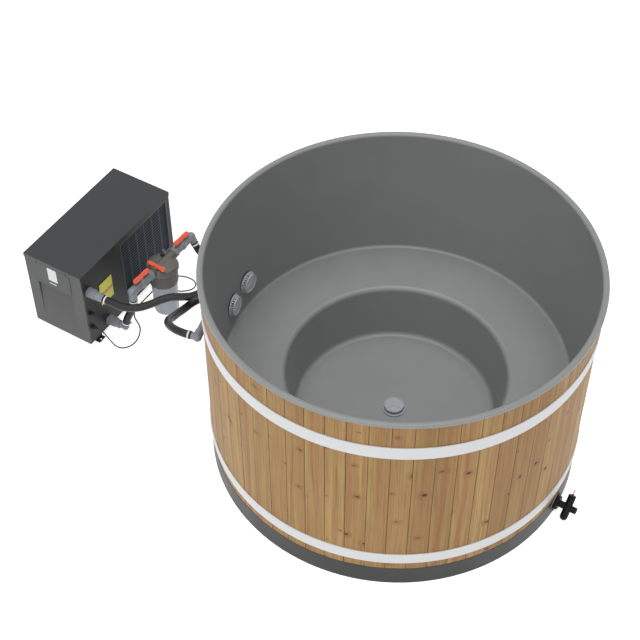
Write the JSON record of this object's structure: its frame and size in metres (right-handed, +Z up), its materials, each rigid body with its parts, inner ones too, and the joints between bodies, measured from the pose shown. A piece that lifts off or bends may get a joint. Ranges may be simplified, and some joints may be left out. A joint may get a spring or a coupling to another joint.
{
  "type": "barrel hot tub",
  "caption": "Round hot tub with staved wooden wall, moulded liner, seat ring and well, piped by hoses to a canister filter and a boxed heat pump with fan.",
  "frame": {"origin": "centre of the tub's underside, on the floor", "axes": "+Z up, +X from the heat pump through the tub's centre towards the drain valve, +Y towards the tub's far side as the picture shows it"},
  "size_m": [2.9614, 1.7996, 1.156],
  "materials": {
    "liner": "smooth moulded shell",
    "plinth": "moulded tray",
    "timber": "sawn softwood",
    "pine": "planed and oiled boards",
    "foam": "soft insulation",
    "hoop": "white coated strap",
    "zinc": "zinc plated",
    "strainer": "moulded",
    "pvc": "moulded",
    "gasket": "moulded",
    "seal": "moulded",
    "valve_black": "moulded",
    "casing": "fine texture powder coat",
    "casing_plastic": "moulded",
    "aluminium": "finned",
    "painted_steel": "painted",
    "bowl": "clear tinted",
    "cartridge": "pleated",
    "lever": "moulded",
    "hose": "smooth",
    "clamp": "moulded"
  },
  "bodies": {
    "tub": {"tub_liner": "liner", "base_plinth": "plinth", "base_bearers": "timber", "seat_supports": "timber", "wall_staves": "pine", "wall_insulation": "foam", "hoop_upper": "hoop", "hoop_lower": "hoop", "hoop_bolts": "zinc", "return_cover": "strainer", "suction_cover": "strainer", "fitting_bodies": "pvc", "fitting_gaskets": "gasket", "fitting_locknuts": "pvc", "return_tail": "pvc", "suction_pipe": "pvc", "drain_cover": "strainer", "drain_body": "pvc", "drain_pipe": "pvc", "drain_gasket": "seal", "drain_valve": "valve_black", "pump_base": "casing", "pump_feet": "gasket", "pump_front_panel": "casing", "control_cover": "casing_plastic", "pump_top_cover": "casing", "pump_tub_side": "casing", "pump_rear_panel": "casing", "pump_fan_side": "casing", "coil_guard": "casing_plastic", "evaporator_coil": "aluminium", "fan_guard": "casing_plastic", "fan_motor": "painted_steel", "motor_bracket": "zinc", "divider_wall": "zinc", "compressor": "painted_steel", "heat_exchanger": "casing_plastic", "circulation_pump": "casing_plastic", "control_box": "casing_plastic", "water_inlet_union": "pvc", "water_outlet_union": "pvc", "cable_glands": "casing_plastic", "filter_bowl": "bowl", "filter_lock_ring": "casing_plastic", "filter_head": "pvc", "filter_cartridge": "cartridge", "inlet_valve": "pvc", "outlet_valve": "pvc", "return_hose": "hose", "link_hose": "hose", "suction_hose": "hose", "sensor_cable": "hose", "hose_clamps": "clamp"},
    "fan": {"fan_rotor": "casing_plastic"},
    "inlet_handle": {"inlet_lever": "lever"},
    "outlet_handle": {"outlet_lever": "lever"},
    "bypass_handle": {"bypass_lever": "lever"},
    "bleed": {"bleed_screw": "casing_plastic"},
    "drain": {"drain_plug": "valve_black", "drain_pull_ring": "lever"}
  },
  "joints": [
    {"name": "fan_spin", "type": "hinge", "parent": "tub", "child": "fan", "pos_m": [-1.914, 0.16, 0.282], "axis": [1, 0, 0], "continuous": true},
    {"name": "inlet_turn", "type": "hinge", "parent": "tub", "child": "inlet_handle", "pos_m": [-1.4268, 0.24884, 0.328], "axis": [0, 0, 1], "range_deg": [0, 90]},
    {"name": "outlet_turn", "type": "hinge", "parent": "tub", "child": "outlet_handle", "pos_m": [-1.4412, -0.08084, 0.328], "axis": [0, 0, 1], "range_deg": [0, 90]},
    {"name": "bypass_turn", "type": "hinge", "parent": "tub", "child": "bypass_handle", "pos_m": [-1.43644, 0.02805, 0.328], "axis": [0, 0, 1], "range_deg": [0, 90]},
    {"name": "bleed_turn", "type": "hinge", "parent": "tub", "child": "bleed", "pos_m": [-1.4545, 0.11893, 0.35], "axis": [0, 0, 1], "range_deg": [0, 720]},
    {"name": "drain_turn", "type": "hinge", "parent": "tub", "child": "drain", "pos_m": [0.95297, -0.02496, 0.066], "axis": [0.0168, 0.6426, 0.766], "range_deg": [0, 90]}
  ]
}
